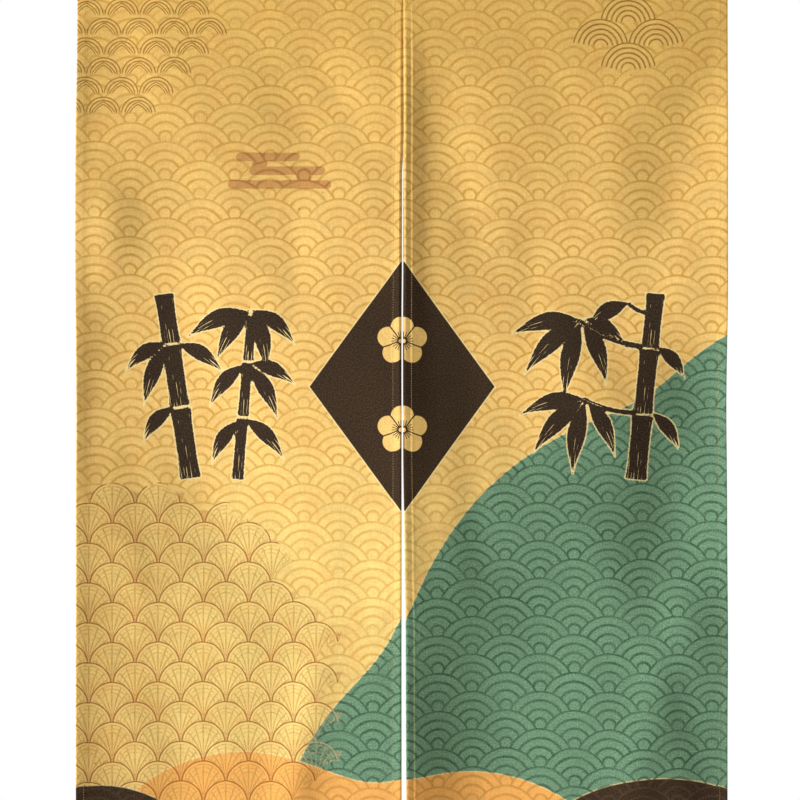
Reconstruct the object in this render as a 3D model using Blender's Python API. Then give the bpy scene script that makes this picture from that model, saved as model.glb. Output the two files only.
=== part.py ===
"""A noren, the split curtain of a doorway, in the soft folds in which it hangs.

Two printed cloth panels hang side by side. Each has a narrow turned hem down both sides and along its
foot. Their inner edges are sewn together for about the top quarter, and part below it as the slit that
people walk through. One strip of the same cloth is folded over the tops of both panels and sewn
through them: the fold is the sleeve for a rod.

Metres, +Z up, +X to the viewer's right, and the viewer stands at -Y. The origin is the middle of the
top edge, and a drop is a distance below that edge.
"""

import math
from collections import namedtuple

import bmesh
import bpy

# The finished curtain.
WIDTH = 0.850
DROP = 1.200
SEWN_DROP = 0.271

# The cloth, one layer and where it is turned under.
CLOTH = 0.0012
HEM = 0.0022
SIDE_HEM = 0.012
FOOT_HEM = 0.022
HEM_SLOPE = 0.002
GAP = 0.0004

# The heading strip: its sleeve round the rod, and the two legs that hold the panels' tops.
SLEEVE_RADIUS = 0.011
SLEEVE_FOOT = 0.057
HEADING_DROP = 0.078
TUCK = 0.018
SLEEVE_STEPS = 10
LEG_STEPS = 2
FLARE_STEPS = 3

# How finely the solids are divided.
PANEL_COLUMNS = 23
PANEL_ROWS = 39
HEADING_COLUMNS = 24

# The rod keeps the cloth straight at the sleeve, and the folds open out below it.
STRAIGHT_DROP = 0.056
FREE_DROP = 0.210

GOLD = (0.76, 0.48, 0.14, 1.0)
CLOTH_ROUGHNESS = 0.9

# How far each inner edge stands from the middle line, from the top edge to the foot.
Slit = namedtuple("Slit", "drop left right")
SLIT = (
    Slit(drop=0.000, left=GAP / 2, right=GAP / 2),
    Slit(drop=SEWN_DROP, left=GAP / 2, right=GAP / 2),
    Slit(drop=0.360, left=0.0008, right=0.0012),
    Slit(drop=0.620, left=0.0008, right=0.0012),
    Slit(drop=0.830, left=0.0012, right=0.0026),
    Slit(drop=0.930, left=0.0013, right=0.0042),
    Slit(drop=DROP, left=0.0012, right=0.0050),
)

# Each fold runs down a line of the cloth from its top to its foot. reach is half its width, and rise is
# how far it stands towards the viewer: below zero it is a trough.
Fold = namedtuple("Fold", "panel top_x top_drop foot_x foot_drop reach rise")
FOLDS = (
    # The sewn inner edges stand forward, and the left panel's outer edge curls forward.
    Fold("left", 0.000, -0.20, 0.000, 1.80, 0.095, 0.0090),
    Fold("right", 0.000, -0.20, 0.000, 1.80, 0.040, 0.0090),
    Fold("left", -0.430, -0.20, -0.430, 1.80, 0.075, 0.0200),
    # The left panel: a swell below the heading, and a long slanting belly under it.
    Fold("left", -0.390, -0.20, -0.390, 1.80, 0.036, -0.0029),
    Fold("left", -0.370, -0.20, -0.370, 0.45, 0.050, -0.0063),
    Fold("left", -0.330, -0.10, -0.170, 0.70, 0.100, 0.0063),
    Fold("left", -0.350, 0.15, -0.390, 0.55, 0.100, 0.0115),
    Fold("left", -0.310, 0.25, -0.430, 0.75, 0.036, -0.0037),
    Fold("left", -0.070, 0.25, -0.190, 0.75, 0.100, 0.0043),
    Fold("left", -0.350, 0.45, -0.190, 0.95, 0.100, -0.0106),
    Fold("left", -0.230, 0.60, -0.110, 1.00, 0.100, -0.0048),
    Fold("left", -0.030, 0.60, -0.070, 1.00, 0.036, -0.0037),
    # The right panel: hollows that slant in from the outer edge, and at the foot a deep one with a ridge.
    Fold("right", 0.410, 0.15, 0.290, 0.55, 0.050, -0.0057),
    Fold("right", 0.190, 0.25, 0.350, 0.75, 0.036, -0.0025),
    Fold("right", 0.250, 0.25, 0.090, 0.75, 0.100, -0.0066),
    Fold("right", 0.190, 0.35, 0.030, 1.45, 0.050, -0.0038),
    Fold("right", 0.410, 0.45, 0.330, 0.95, 0.070, -0.0169),
    Fold("right", 0.030, 0.60, 0.070, 1.00, 0.100, 0.0102),
    Fold("right", 0.230, 0.70, 0.070, 1.40, 0.100, -0.0109),
    Fold("right", 0.390, 0.80, 0.270, 1.25, 0.036, 0.0070),
)
FADE = 0.36


def smooth(share):
    """0 up to 0, 1 from 1, and an even S between them."""
    share = min(1.0, max(0.0, share))
    return share * share * (3.0 - 2.0 * share)


def fold_rise(fold, x, drop):
    """How far one fold brings the cloth towards the viewer at a point."""
    run_x = fold.foot_x - fold.top_x
    run_drop = fold.foot_drop - fold.top_drop
    length = math.hypot(run_x, run_drop)
    along = ((x - fold.top_x) * run_x + (drop - fold.top_drop) * run_drop) / length**2
    across = ((x - fold.top_x) * run_drop - (drop - fold.top_drop) * run_x) / length
    ends = smooth(along / FADE) * smooth((1.0 - along) / FADE)
    return fold.rise * ends * math.exp(-((across / fold.reach) ** 2))


def hang(panel, x, drop):
    """The y of the middle of a panel's thickness, as it hangs."""
    rise = sum(fold_rise(fold, x, drop) for fold in FOLDS if fold.panel == panel)
    return -rise * smooth((drop - STRAIGHT_DROP) / (FREE_DROP - STRAIGHT_DROP))


def slit_edge(side, drop):
    """How far an inner edge stands from the middle line, at a distance below the top edge."""
    for above, below in zip(SLIT, SLIT[1:]):
        if drop <= below.drop:
            share = smooth((drop - above.drop) / (below.drop - above.drop))
            start, end = getattr(above, side), getattr(below, side)
            return start + (end - start) * share
    return getattr(SLIT[-1], side)


def spaced(start, end, count):
    """count places from start to end, both included, evenly apart."""
    return [start + (end - start) * i / (count - 1) for i in range(count)]


def lattice(columns, rows, place):
    """A sheet with a point for each column and row, put where place(column, row) says."""
    sheet = bmesh.new()
    bmesh.ops.create_grid(sheet, x_segments=len(columns) - 1, y_segments=len(rows) - 1, size=0.5)
    for vert in sheet.verts:
        column = columns[round((vert.co.x + 0.5) * (len(columns) - 1))]
        row = rows[round((0.5 - vert.co.y) * (len(rows) - 1))]
        vert.co = place(column, row)
    return sheet


def finished(name, sheet, material):
    """The named object of a finished sheet, shaded smooth but for its rims."""
    bmesh.ops.recalc_face_normals(sheet, faces=sheet.faces)
    mesh = bpy.data.meshes.new(name)
    sheet.to_mesh(mesh)
    sheet.free()
    mesh.shade_smooth()
    mesh.set_sharp_from_angle(angle=math.radians(40))
    mesh.materials.append(material)
    piece = bpy.data.objects.new(name, mesh)
    bpy.context.scene.collection.objects.link(piece)
    return piece


def printed_cloth():
    """The gold ground of the printed cloth."""
    material = bpy.data.materials.new("printed_cloth")
    material.use_nodes = True
    shader = material.node_tree.nodes["Principled BSDF"]
    shader.inputs["Base Color"].default_value = GOLD
    shader.inputs["Roughness"].default_value = CLOTH_ROUGHNESS
    shader.inputs["Metallic"].default_value = 0.0
    return material


def panel(side, material):
    """One hanging panel: its front face in folds, and its back face thicker along the turned hems."""
    towards = -1.0 if side == "left" else 1.0
    half = WIDTH / 2
    hem_in = SIDE_HEM + HEM_SLOPE
    across = [0.0, SIDE_HEM, *spaced(hem_in, half - hem_in, PANEL_COLUMNS), half - SIDE_HEM, half]
    top_drop = HEADING_DROP - TUCK
    hem_top = DROP - FOOT_HEM
    down = [*spaced(top_drop, hem_top - HEM_SLOPE, PANEL_ROWS), hem_top, DROP]

    def place(from_slit, drop):
        inner = slit_edge(side, drop)
        x = inner + from_slit * (half - inner) / half
        return towards * x, hang(side, towards * x, drop) - HEM / 2, -drop

    def in_hem(vert):
        from_slit = abs(vert.co.x)
        in_side = min(from_slit, half - from_slit) < SIDE_HEM + HEM_SLOPE / 2
        return in_side or -vert.co.z > hem_top - HEM_SLOPE / 2

    sheet = lattice(across, down, place)
    backs = bmesh.ops.extrude_face_region(sheet, geom=list(sheet.faces))["geom"]
    for vert in (item for item in backs if isinstance(item, bmesh.types.BMVert)):
        vert.co.y += HEM if in_hem(vert) else CLOTH
    return finished("panel_" + side, sheet, material)


def sleeve_profile():
    """Points (y, drop) down the middle of the heading strip: up one leg, over the rod, down the other."""
    radius = SLEEVE_RADIUS - CLOTH / 2
    leg = HEM / 2 + GAP + CLOTH / 2
    fall = SLEEVE_FOOT - SLEEVE_RADIUS
    reach = math.hypot(leg, fall)
    turn = math.atan2(leg, fall) + math.acos(radius / reach)
    legs = [(leg, drop) for drop in spaced(HEADING_DROP, SLEEVE_FOOT, LEG_STEPS + 1)]
    touch = (radius * math.sin(turn), SLEEVE_RADIUS + radius * math.cos(turn))
    flare = [
        (leg + (touch[0] - leg) * share, SLEEVE_FOOT + (touch[1] - SLEEVE_FOOT) * share)
        for share in spaced(0.0, 1.0, FLARE_STEPS + 1)[1:-1]
    ]
    arc = [
        (radius * math.sin(angle), SLEEVE_RADIUS + radius * math.cos(angle))
        for angle in spaced(turn, 2 * math.pi - turn, SLEEVE_STEPS + 1)
    ]
    one_side = legs + flare
    return one_side + arc + [(-y, drop) for y, drop in reversed(one_side)]


def heading(material):
    """The strip over both panels' tops: a sleeve, open at both ends, and two legs with the tops between."""
    columns = spaced(-WIDTH / 2, WIDTH / 2, HEADING_COLUMNS + 1)

    def place(x, point):
        y, drop = point
        side = "left" if x < 0 else "right"
        return x, hang(side, x, drop) + y, -drop

    strip = finished("heading", lattice(columns, sleeve_profile(), place), material)
    wall = strip.modifiers.new("cloth", "SOLIDIFY")
    wall.thickness = CLOTH
    wall.offset = 0.0
    wall.use_even_offset = True
    return strip


def main():
    for old in list(bpy.data.objects):
        bpy.data.objects.remove(old)
    cloth = printed_cloth()
    panel("left", cloth)
    panel("right", cloth)
    heading(cloth)


main()
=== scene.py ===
import math
from collections import namedtuple

import bmesh
import bpy
import numpy as np
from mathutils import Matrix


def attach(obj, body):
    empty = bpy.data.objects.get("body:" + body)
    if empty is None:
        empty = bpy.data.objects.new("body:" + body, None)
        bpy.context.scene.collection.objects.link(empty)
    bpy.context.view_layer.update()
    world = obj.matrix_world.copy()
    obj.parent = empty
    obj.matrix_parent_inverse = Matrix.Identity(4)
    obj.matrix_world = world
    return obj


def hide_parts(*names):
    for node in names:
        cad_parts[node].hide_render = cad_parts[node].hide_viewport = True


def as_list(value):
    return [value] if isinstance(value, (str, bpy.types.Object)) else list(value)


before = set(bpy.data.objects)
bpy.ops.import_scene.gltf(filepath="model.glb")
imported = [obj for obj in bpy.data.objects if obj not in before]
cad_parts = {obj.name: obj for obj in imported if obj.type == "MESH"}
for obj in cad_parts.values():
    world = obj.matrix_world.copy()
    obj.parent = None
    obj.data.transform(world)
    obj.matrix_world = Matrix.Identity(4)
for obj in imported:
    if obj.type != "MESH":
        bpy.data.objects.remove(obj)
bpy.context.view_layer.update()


# The studio. The curtain hangs in the open, two metres of air from its top edge to a pale floor, in front
# of plain white. A large soft lamp far to the left rakes across the folds, a small warm one before the
# cloth fills them in, and one behind it lights the reverse. The camera faces the cloth squarely.
FLOOR_DROP = 2.0
FLOOR_HALF = 2.4
FLOOR_TONES = (0.80, 0.84)
CAMERA_BACK = 3.0
SENSOR = 0.036
PICTURE_WIDTH = 1.046
PICTURE_MIDDLE = (-0.0033, -0.617)
WHITE = (1.0, 1.0, 1.0, 1.0)
WORLD_FILL = 0.155
WARM = (1.0, 0.94, 0.80)
KEY_WATTS = 350.0
KEY_AT = (-4.4, -1.6, -0.45)
KEY_SIZE = (1.5, 2.2)
FILL_WATTS = 5.5
FILL_AT = (0.1, -1.3, -0.68)
FILL_SIZE = (0.5, 0.5)
BACK_WATTS = 45.0
BACK_AT = (1.5, 2.4, -0.35)
BACK_SIZE = (1.6, 1.6)


def add(tree, kind, inputs=(), out=0, **settings):
    """A new node of a tree, as one of its outputs. An input is a socket to link or a value to set, by its
    place in a list or by its name or place in a dictionary."""
    made = tree.nodes.new("ShaderNode" + kind)
    for name, value in settings.items():
        setattr(made, name, value)
    for key, value in inputs.items() if isinstance(inputs, dict) else enumerate(inputs):
        if isinstance(value, bpy.types.NodeSocket):
            tree.links.new(value, made.inputs[key])
        else:
            made.inputs[key].default_value = value
    return made.outputs[out] if made.outputs else made


def linear(code):
    """A linear colour from an sRGB hex code."""
    parts = [int(code[i:i + 2], 16) / 255 for i in (0, 2, 4)]
    return (*[c / 12.92 if c <= 0.04045 else ((c + 0.055) / 1.055) ** 2.4 for c in parts], 1.0)


def soft_lamp(name, place, size, watts, aim, tint=WHITE[:3]):
    """A rectangular area lamp that faces a point."""
    lamp = bpy.data.lights.new(name, "AREA")
    lamp.color = tint
    lamp.shape = "RECTANGLE"
    lamp.size, lamp.size_y = size
    lamp.energy = watts
    holder = bpy.data.objects.new(name, lamp)
    holder.location = place
    holder.visible_camera = False
    way = [a - b for a, b in zip(aim, place)]
    holder.rotation_euler = (
        math.atan2(math.hypot(way[0], way[1]), -way[2]),
        0.0,
        math.atan2(way[1], way[0]) - math.pi / 2,
    )
    bpy.context.scene.collection.objects.link(holder)


middle = (PICTURE_MIDDLE[0], 0.0, PICTURE_MIDDLE[1])
soft_lamp("key_lamp", KEY_AT, KEY_SIZE, KEY_WATTS, middle)
soft_lamp("fill_lamp", FILL_AT, FILL_SIZE, FILL_WATTS, middle, WARM)
soft_lamp("back_lamp", BACK_AT, BACK_SIZE, BACK_WATTS, middle)

camera = bpy.data.cameras.new("camera")
camera.sensor_width = SENSOR * 1000
camera.lens = SENSOR * 1000 * CAMERA_BACK / PICTURE_WIDTH
viewer = bpy.data.objects.new("camera", camera)
viewer.location = (middle[0], -CAMERA_BACK, middle[2])
viewer.rotation_euler = (math.pi / 2, 0.0, 0.0)
bpy.context.scene.collection.objects.link(viewer)
bpy.context.scene.camera = viewer
bpy.context.scene.view_settings.view_transform = "Standard"

world = bpy.data.worlds.new("surround")
world.use_nodes = True
world.node_tree.nodes.clear()
seen = add(world.node_tree, "LightPath", out="Is Camera Ray")
fill = add(world.node_tree, "Background", {"Color": (*WARM, 1.0), "Strength": WORLD_FILL})
white = add(world.node_tree, "Background", {"Color": WHITE, "Strength": 1.0})
both = add(world.node_tree, "MixShader", [seen, fill, white])
add(world.node_tree, "OutputWorld", [both])
bpy.context.scene.world = world

floor_mesh = bpy.data.meshes.new("floor")
floor_bm = bmesh.new()
bmesh.ops.create_grid(floor_bm, x_segments=1, y_segments=1, size=FLOOR_HALF)
bmesh.ops.translate(floor_bm, verts=floor_bm.verts, vec=(0.0, 0.0, -FLOOR_DROP))
floor_bm.to_mesh(floor_mesh)
floor_bm.free()
floor = bpy.data.objects.new("floor", floor_mesh)
bpy.context.scene.collection.objects.link(floor)
floor_paint = bpy.data.materials.new("pale_floor_paint")
floor_paint.use_nodes = True
floor_paint.node_tree.nodes.clear()
grain = add(floor_paint.node_tree, "TexNoise", {"Scale": 6.0})
tone = add(floor_paint.node_tree, "MapRange", [grain, 0.0, 1.0, *FLOOR_TONES])
matt = add(floor_paint.node_tree, "BsdfPrincipled", {"Base Color": tone, "Roughness": 0.8})
add(floor_paint.node_tree, "OutputMaterial", [matt])
floor_mesh.materials.append(floor_paint)


# How the cloth hangs. It is straight where the rod holds it and opens into long shallow folds below. These
# are the folds of the panels' solids, a row for each, and after them the smaller creases, which only the
# thin cloth has. Every fold runs down a line of the cloth; reach is half its width, and rise is how far it
# comes towards the viewer. Metres, with drops measured down from the top edge.
WIDTH = 0.850
DROP = 1.200
SEWN_DROP = 0.271
STRAIGHT_DROP = 0.056
FREE_DROP = 0.210
FADE = 0.36
Slit = namedtuple("Slit", "drop left right")
SLIT = (
    Slit(drop=0.000, left=-0.0013, right=0.0014),
    Slit(drop=SEWN_DROP, left=-0.0013, right=0.0014),
    Slit(drop=0.290, left=-0.0010, right=0.0013),
    Slit(drop=0.322, left=0.0004, right=0.0010),
    Slit(drop=0.420, left=0.0006, right=0.0010),
    Slit(drop=0.530, left=0.0013, right=0.0005),
    Slit(drop=0.670, left=0.0012, right=0.0007),
    Slit(drop=0.830, left=0.0012, right=0.0026),
    Slit(drop=0.930, left=0.0013, right=0.0042),
    Slit(drop=DROP, left=0.0012, right=0.0050),
)
Fold = namedtuple("Fold", "panel top_x top_drop foot_x foot_drop reach rise")
FOLDS = (
    # The sewn inner edges stand forward, and the left panel's outer edge curls forward.
    Fold("left", 0.000, -0.20, 0.000, 1.80, 0.095, 0.0090),
    Fold("right", 0.000, -0.20, 0.000, 1.80, 0.040, 0.0090),
    Fold("left", -0.430, -0.20, -0.430, 1.80, 0.075, 0.0200),
    # The left panel: a swell below the heading, and a long slanting belly under it.
    Fold("left", -0.390, -0.20, -0.390, 1.80, 0.036, -0.0029),
    Fold("left", -0.370, -0.20, -0.370, 0.45, 0.050, -0.0063),
    Fold("left", -0.330, -0.10, -0.170, 0.70, 0.100, 0.0063),
    Fold("left", -0.350, 0.15, -0.390, 0.55, 0.100, 0.0115),
    Fold("left", -0.310, 0.25, -0.430, 0.75, 0.036, -0.0037),
    Fold("left", -0.070, 0.25, -0.190, 0.75, 0.100, 0.0043),
    Fold("left", -0.350, 0.45, -0.190, 0.95, 0.100, -0.0106),
    Fold("left", -0.230, 0.60, -0.110, 1.00, 0.100, -0.0048),
    Fold("left", -0.030, 0.60, -0.070, 1.00, 0.036, -0.0037),
    # The right panel: hollows that slant in from the outer edge, and at the foot a deep one with a ridge.
    Fold("right", 0.410, 0.15, 0.290, 0.55, 0.050, -0.0057),
    Fold("right", 0.190, 0.25, 0.350, 0.75, 0.036, -0.0025),
    Fold("right", 0.250, 0.25, 0.090, 0.75, 0.100, -0.0066),
    Fold("right", 0.190, 0.35, 0.030, 1.45, 0.050, -0.0038),
    Fold("right", 0.410, 0.45, 0.330, 0.95, 0.070, -0.0169),
    Fold("right", 0.030, 0.60, 0.070, 1.00, 0.100, 0.0102),
    Fold("right", 0.230, 0.70, 0.070, 1.40, 0.100, -0.0109),
    Fold("right", 0.390, 0.80, 0.270, 1.25, 0.036, 0.0070),
)
CREASES = (
    Fold("left", -0.090, 0.85, -0.210, 1.50, 0.026, 0.0059),
    Fold("left", -0.410, -0.20, -0.410, 1.80, 0.026, -0.0036),
    Fold("left", -0.390, 0.45, -0.310, 0.95, 0.026, -0.0016),
    Fold("left", -0.160, 0.10, -0.010, 0.34, 0.018, -0.0011),
    Fold("left", -0.290, 0.28, -0.290, 0.62, 0.045, -0.0026),
    Fold("left", -0.372, 0.30, -0.372, 0.62, 0.034, 0.0020),
    Fold("left", -0.285, 0.90, -0.285, 1.50, 0.055, -0.0050),
    Fold("left", -0.374, 0.62, -0.374, 1.30, 0.030, -0.0026),
    Fold("left", -0.137, 0.30, -0.141, 0.58, 0.018, -0.0014),
    Fold("right", 0.032, 0.06, 0.112, 0.60, 0.036, -0.0034),
    Fold("right", 0.030, 0.15, 0.034, 0.62, 0.019, -0.0028),
    Fold("right", 0.062, -0.05, 0.062, 0.26, 0.060, 0.0062),
    Fold("right", 0.362, -0.05, 0.362, 0.26, 0.040, 0.0032),
    Fold("right", 0.440, 0.04, 0.440, 0.72, 0.034, 0.0040),
    Fold("right", 0.070, 0.45, 0.110, 0.95, 0.026, -0.0026),
    Fold("right", 0.050, 0.45, 0.010, 0.95, 0.026, -0.0021),
    Fold("right", 0.012, 0.80, 0.022, 1.40, 0.060, 0.0050),
    Fold("right", 0.400, 0.62, 0.400, 1.05, 0.055, 0.0030),
    Fold("right", 0.368, 0.90, 0.368, 1.40, 0.030, 0.0026),
    Fold("right", 0.310, 0.80, 0.430, 1.25, 0.026, -0.0029),
    Fold("right", 0.168, 0.34, 0.176, 0.60, 0.020, -0.0012),
)
# Longer, fainter waves than a fold run through all of it, and the hems draw up a little along their seams.
Swell = namedtuple("Swell", "across down shift rise")
SWELLS = (Swell(6.1, 1.7, 0.4, 0.0006), Swell(-3.3, 4.6, 2.1, 0.0008), Swell(11.3, -5.2, 4.0, 0.00022))
PUCKER_RISE, PUCKER_REACH, PUCKER_LENGTH = 0.00022, 0.016, 0.034
# The hems roll along the slit and along the right edge: how far the cloth comes forward at a distance from
# its slit edge, where the panels are sewn together and where they have parted. At the sewn part the left
# hem dips under the right one, which crests, falls to its seam and crests again.
Roll = namedtuple("Roll", "from_slit sewn parted")
ROLLS = {
    "left": (
        Roll(0.0000, -0.0028, 0.0010), Roll(0.0013, -0.0008, 0.0014), Roll(0.0031, 0.0016, 0.0015),
        Roll(0.0112, 0.0, 0.0),
    ),
    "right": (
        Roll(0.0000, 0.0002, 0.0010), Roll(0.0010, 0.0016, 0.0013), Roll(0.0034, 0.0024, 0.0012),
        Roll(0.0098, 0.0008, 0.0), Roll(0.0120, 0.0018, 0.0006), Roll(0.0160, 0.0013, 0.0003),
        Roll(0.0286, 0.0, 0.0), Roll(0.4125, 0.0, 0.0), Roll(0.4240, 0.0006, 0.0014),
    ),
}
PARTING_DROP, PARTED_DROP = 0.40, 0.65


def smooth(share):
    """0 up to 0, 1 from 1, and an even S between them."""
    share = np.clip(share, 0.0, 1.0)
    return share * share * (3.0 - 2.0 * share)


def fold_rise(fold, x, drop):
    """How far one fold brings the cloth towards the viewer at each point."""
    run_x = fold.foot_x - fold.top_x
    run_drop = fold.foot_drop - fold.top_drop
    length = math.hypot(run_x, run_drop)
    along = ((x - fold.top_x) * run_x + (drop - fold.top_drop) * run_drop) / length**2
    across = ((x - fold.top_x) * run_drop - (drop - fold.top_drop) * run_x) / length
    ends = smooth(along / FADE) * smooth((1.0 - along) / FADE)
    return fold.rise * ends * np.exp(-((across / fold.reach) ** 2))


def hang(side, x, drop):
    """The y of the middle of the cloth's thickness, as it hangs."""
    rise = sum(fold_rise(fold, x, drop) for fold in (*FOLDS, *CREASES) if fold.panel == side)
    for swell in SWELLS:
        rise = rise + swell.rise * np.sin(math.tau * (swell.across * x + swell.down * drop) + swell.shift)
    from_edge = np.clip(np.minimum(np.abs(x), WIDTH / 2 - np.abs(x)), 0.0, None)
    phase = math.tau * drop / PUCKER_LENGTH
    pucker = np.sin(phase + 1.7 * np.sin(phase / 5.3) + 2.6 * np.sin(phase / 2.9))
    rise = rise + PUCKER_RISE * pucker * np.exp(-((from_edge / PUCKER_REACH) ** 2))
    places, sewn, parted = zip(*ROLLS[side])
    from_slit = (-x if side == "left" else x) - slit_edge(side, np.clip(drop, 0.0, DROP))
    share = smooth((drop - PARTING_DROP) / (PARTED_DROP - PARTING_DROP))
    rise = rise + np.interp(from_slit, places, sewn) * (1.0 - share)
    rise = rise + np.interp(from_slit, places, parted) * share
    return -rise * smooth((drop - STRAIGHT_DROP) / (FREE_DROP - STRAIGHT_DROP))


def slit_edge(side, drop):
    """How far an inner edge stands from the middle line at each drop."""
    place = np.zeros_like(drop)
    for above, below in zip(SLIT, SLIT[1:]):
        share = smooth((drop - above.drop) / (below.drop - above.drop))
        start, end = getattr(above, side), getattr(below, side)
        place = np.where(drop >= above.drop, start + (end - start) * share, place)
    return place


# The print's layout, on the uncut cloth: millimetres across from the slit and down from the top edge. The
# ground is gold, and rounded hills of green, orange and near-black rise over it from the foot. Two sprigs
# of bamboo are brushed over it in dark ink. Each of these is kept on the cloth as a distance to its edge,
# above zero inside it, so that the dye has a crisp edge wherever the cloth bends.
MM = 1000.0
Hill = namedtuple("Hill", "field x drop radius")
HILLS = (
    Hill("green", 376, 1010, 384),
    Hill("green", 96, 1196, 252),
    Hill("green", 520, 700, 190),
    Hill("orange", -210, 1300, 222),
    Hill("orange", 84, 1352, 246),
    Hill("dark", -400, 1290, 170),
    Hill("dark", 340, 1362, 250),
)
HILL_BLEND = 34.0
# A stroke starts at a point of its sprig and runs at an angle from straight down, towards the right.
Stroke = namedtuple("Stroke", "kind x drop angle length width bend")
SPRIGS = {
    (-244, 600): (
        Stroke("culm", -68, -121, 8, 64, 27, 0),
        Stroke("culm", -59, -54, 8, 80, 28, 0),
        Stroke("culm", -47, 29, 8, 92, 29, 0),
        Stroke("culm", 48, -92, -5, 58, 15, 0),
        Stroke("culm", 42, -31, -5, 70, 16, 0),
        Stroke("culm", 35, 42, -5, 80, 17, 0),
        Stroke("leaf", 44, -98, -68, 88, 23, -7),
        Stroke("leaf", 46, -101, -34, 80, 22, -5),
        Stroke("leaf", 49, -101, 12, 84, 22, 5),
        Stroke("leaf", 51, -100, 50, 70, 20, 6),
        Stroke("leaf", -66, -58, -54, 66, 19, -6),
        Stroke("leaf", -66, -54, -20, 84, 21, -4),
        Stroke("leaf", -50, -56, 58, 70, 20, 6),
        Stroke("leaf", 44, -28, 28, 80, 21, 5),
        Stroke("leaf", 46, -31, 64, 66, 19, 6),
        Stroke("leaf", 38, -29, -40, 72, 20, -6),
        Stroke("leaf", 38, 42, 44, 74, 20, 6),
        Stroke("leaf", 30, 44, -32, 68, 19, -5),
        Stroke("leaf", -56, 26, -40, 62, 19, -6),
    ),
    (250, 600): (
        Stroke("culm", 82, -122, -6, 71.5, 26, 0),
        Stroke("culm", 74, -48.5, -6, 84, 28, 0),
        Stroke("culm", 65, 38, -6, 84, 30, 0),
        Stroke("twig", 66, -52, -112, 92, 8, 6),
        Stroke("leaf", -18, -88, -78, 92, 23, -7),
        Stroke("leaf", -19, -86, -46, 100, 25, -6),
        Stroke("leaf", -17, -86, -12, 104, 25, -4),
        Stroke("leaf", -14, -87, 20, 90, 23, 5),
        Stroke("leaf", -12, -90, 54, 70, 20, 6),
        Stroke("twig", 58, 34, -104, 74, 7, 5),
        Stroke("leaf", -12, 16, -76, 88, 22, -7),
        Stroke("leaf", -13, 18, -44, 96, 24, -6),
        Stroke("leaf", -11, 19, -10, 98, 24, -4),
        Stroke("leaf", -8, 18, 26, 82, 21, 5),
        Stroke("leaf", 84, -52, 42, 56, 18, 5),
        Stroke("leaf", 78, 34, 36, 62, 18, 5),
        Stroke("twig", 74, -96, -116, 32, 6, 3),
        Stroke("leaf", 47, -110, -58, 66, 22, -6),
    ),
}
CORNER = 3.0


def hill_distance(field, across, drop):
    """How far inside a field's hills each point is, in millimetres. Neighbouring hills flow together."""
    hills = [hill for hill in HILLS if hill.field == field]
    inside = [(hill.radius - np.hypot(across - hill.x, drop - hill.drop)) / HILL_BLEND for hill in hills]
    return HILL_BLEND * np.logaddexp.reduce(inside, axis=0)


def brush_stroke(stroke, across, drop):
    """How far inside a brush stroke each point is, how far down its length and how far to its side it
    lies, in millimetres, and how dry the brush is there, from 0 to 1."""
    angle = math.radians(stroke.angle)
    out, down = across - stroke.x, drop - stroke.drop
    along = (out * math.sin(angle) + down * math.cos(angle)) / stroke.length
    share = np.clip(along, 0.0, 1.0)
    aside = out * math.cos(angle) - down * math.sin(angle) - stroke.bend * 4.0 * share * (1.0 - share)
    if stroke.kind == "leaf":
        half = stroke.width / 2 * np.sin(math.pi * share**0.82) ** 1.4
        beyond = np.hypot((along - share) * stroke.length, np.maximum(np.abs(aside) - half, 0.0))
        inside = np.where(beyond > 0.0, -beyond, half - np.abs(aside))
        return inside, along * stroke.length, aside, smooth((share - 0.30) / 0.6)
    half = stroke.width / 2 * (0.85 + 0.15 * (2.0 * share - 1.0) ** 4)
    past_side = np.abs(aside) - half + CORNER
    past_end = (np.abs(along - 0.5) - 0.5) * stroke.length + CORNER
    outside = np.hypot(np.maximum(past_side, 0.0), np.maximum(past_end, 0.0))
    inside = CORNER - outside - np.minimum(np.maximum(past_side, past_end), 0.0)
    return inside, along * stroke.length, aside, 0.35 + 0.5 * smooth((share - 0.5) / 0.5)


def print_fields(across, drop):
    """The named numbers that the print's dyes follow, for points of the uncut cloth."""
    fields = {name: hill_distance(name, across, drop) for name in ("green", "orange", "dark")}
    brush = [np.full_like(across, value) for value in (-60.0, 0.0, 0.0, 0.0)]
    for (x, middle_drop), strokes in SPRIGS.items():
        for stroke in strokes:
            made = brush_stroke(stroke, across - x, drop - middle_drop)
            over = made[0] > brush[0]
            brush = [np.where(over, new, old) for new, old in zip(made, brush)]
    return {**fields, **dict(zip(("ink", "brush_along", "brush_aside", "brush_dry"), brush))}


# The dyes. The whole cloth is printed with one ground of overlapping waves, drawn line over line: seigaiha,
# in rows of round scales that each cover the feet of the row above. Finer figures of the same family lie
# over it in patches of whole scales: fans at the lower left, double arcs and close-set arches at the top,
# and bars of mist. A black lozenge with two plum blossoms hangs across the slit.
GOLD, GOLD_TOP, GOLD_LOW, GOLD_LINE, OLD_GOLD = "EDC577", "E5BB67", "E9CA7C", "C89A47", "E0AA5E"
GREEN, GREEN_LINE = "6B9175", "385A45"
ORANGE, ORANGE_LINE = "EDAC5B", "C98F47"
DARK, DARK_LINE = "342417", "483425"
FAN_RIM, FAN_LINE, FAN_FOOT_LINE, FAN_ON_GREEN = "92571E", "A5843F", "B0703A", "B7A27A"
ARCH_LINE, MIST, MIST_LINE, INK, HALO = "855B1E", "C99457", "A36C35", "2E1F15", "F2DCA0"
REVERSE, FLECK, GREEN_FLECK = "EBDDB8", "7A5A33", "3A5560"
Scales = namedtuple("Scales", "radius pitch row across drop rows_deep")
WAVES = Scales(radius=44.5, pitch=91.0, row=24.8, across=-36.7, drop=27.5, rows_deep=4)
FANS = Scales(radius=28.7, pitch=59.6, row=26.0, across=7.8, drop=0.6, rows_deep=3)
FAN_FOOT, FAN_TURN = 24.0, math.radians(6.8)
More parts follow.
